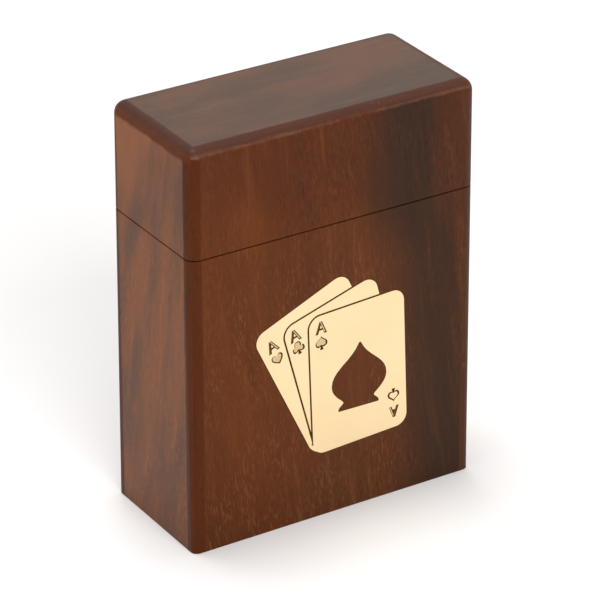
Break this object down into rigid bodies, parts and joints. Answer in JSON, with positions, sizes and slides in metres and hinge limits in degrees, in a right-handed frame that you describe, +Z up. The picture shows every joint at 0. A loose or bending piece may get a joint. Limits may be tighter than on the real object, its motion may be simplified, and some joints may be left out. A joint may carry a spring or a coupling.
{
  "type": "wooden playing card box",
  "caption": "Upright wooden box for a deck of playing cards, with a lift-off lid seated over an inner liner and a brass inlay of fanned aces let into the front.",
  "frame": {"origin": "middle of the underside, at the height of the surface that the box stands on", "axes": "+Z up, along the way the lid lifts; the front with the inlay faces -Y; +X to the right seen from the front"},
  "size_m": [0.0826, 0.038, 0.11],
  "materials": {
    "rosewood": "satin lacquered red-brown rosewood",
    "liner_wood": "sanded, waxed rosewood, a little lighter than the outside",
    "inlay_brass": "fine-brushed polished brass"
  },
  "bodies": {
    "box": {"front_panel": "rosewood", "back_panel": "rosewood", "left_panel": "rosewood", "right_panel": "rosewood", "bottom_panel": "rosewood", "liner_front": "liner_wood", "liner_back": "liner_wood", "liner_left": "liner_wood", "liner_right": "liner_wood", "ace_inlay": "inlay_brass", "club_inlay": "inlay_brass"},
    "lid": {"lid_front": "rosewood", "lid_back": "rosewood", "lid_left": "rosewood", "lid_right": "rosewood", "lid_top": "rosewood"}
  },
  "joints": [
    {"name": "lid_lift", "type": "slide", "parent": "box", "child": "lid", "axis": [0, 0, 1], "range_m": [0, 0.045]}
  ]
}
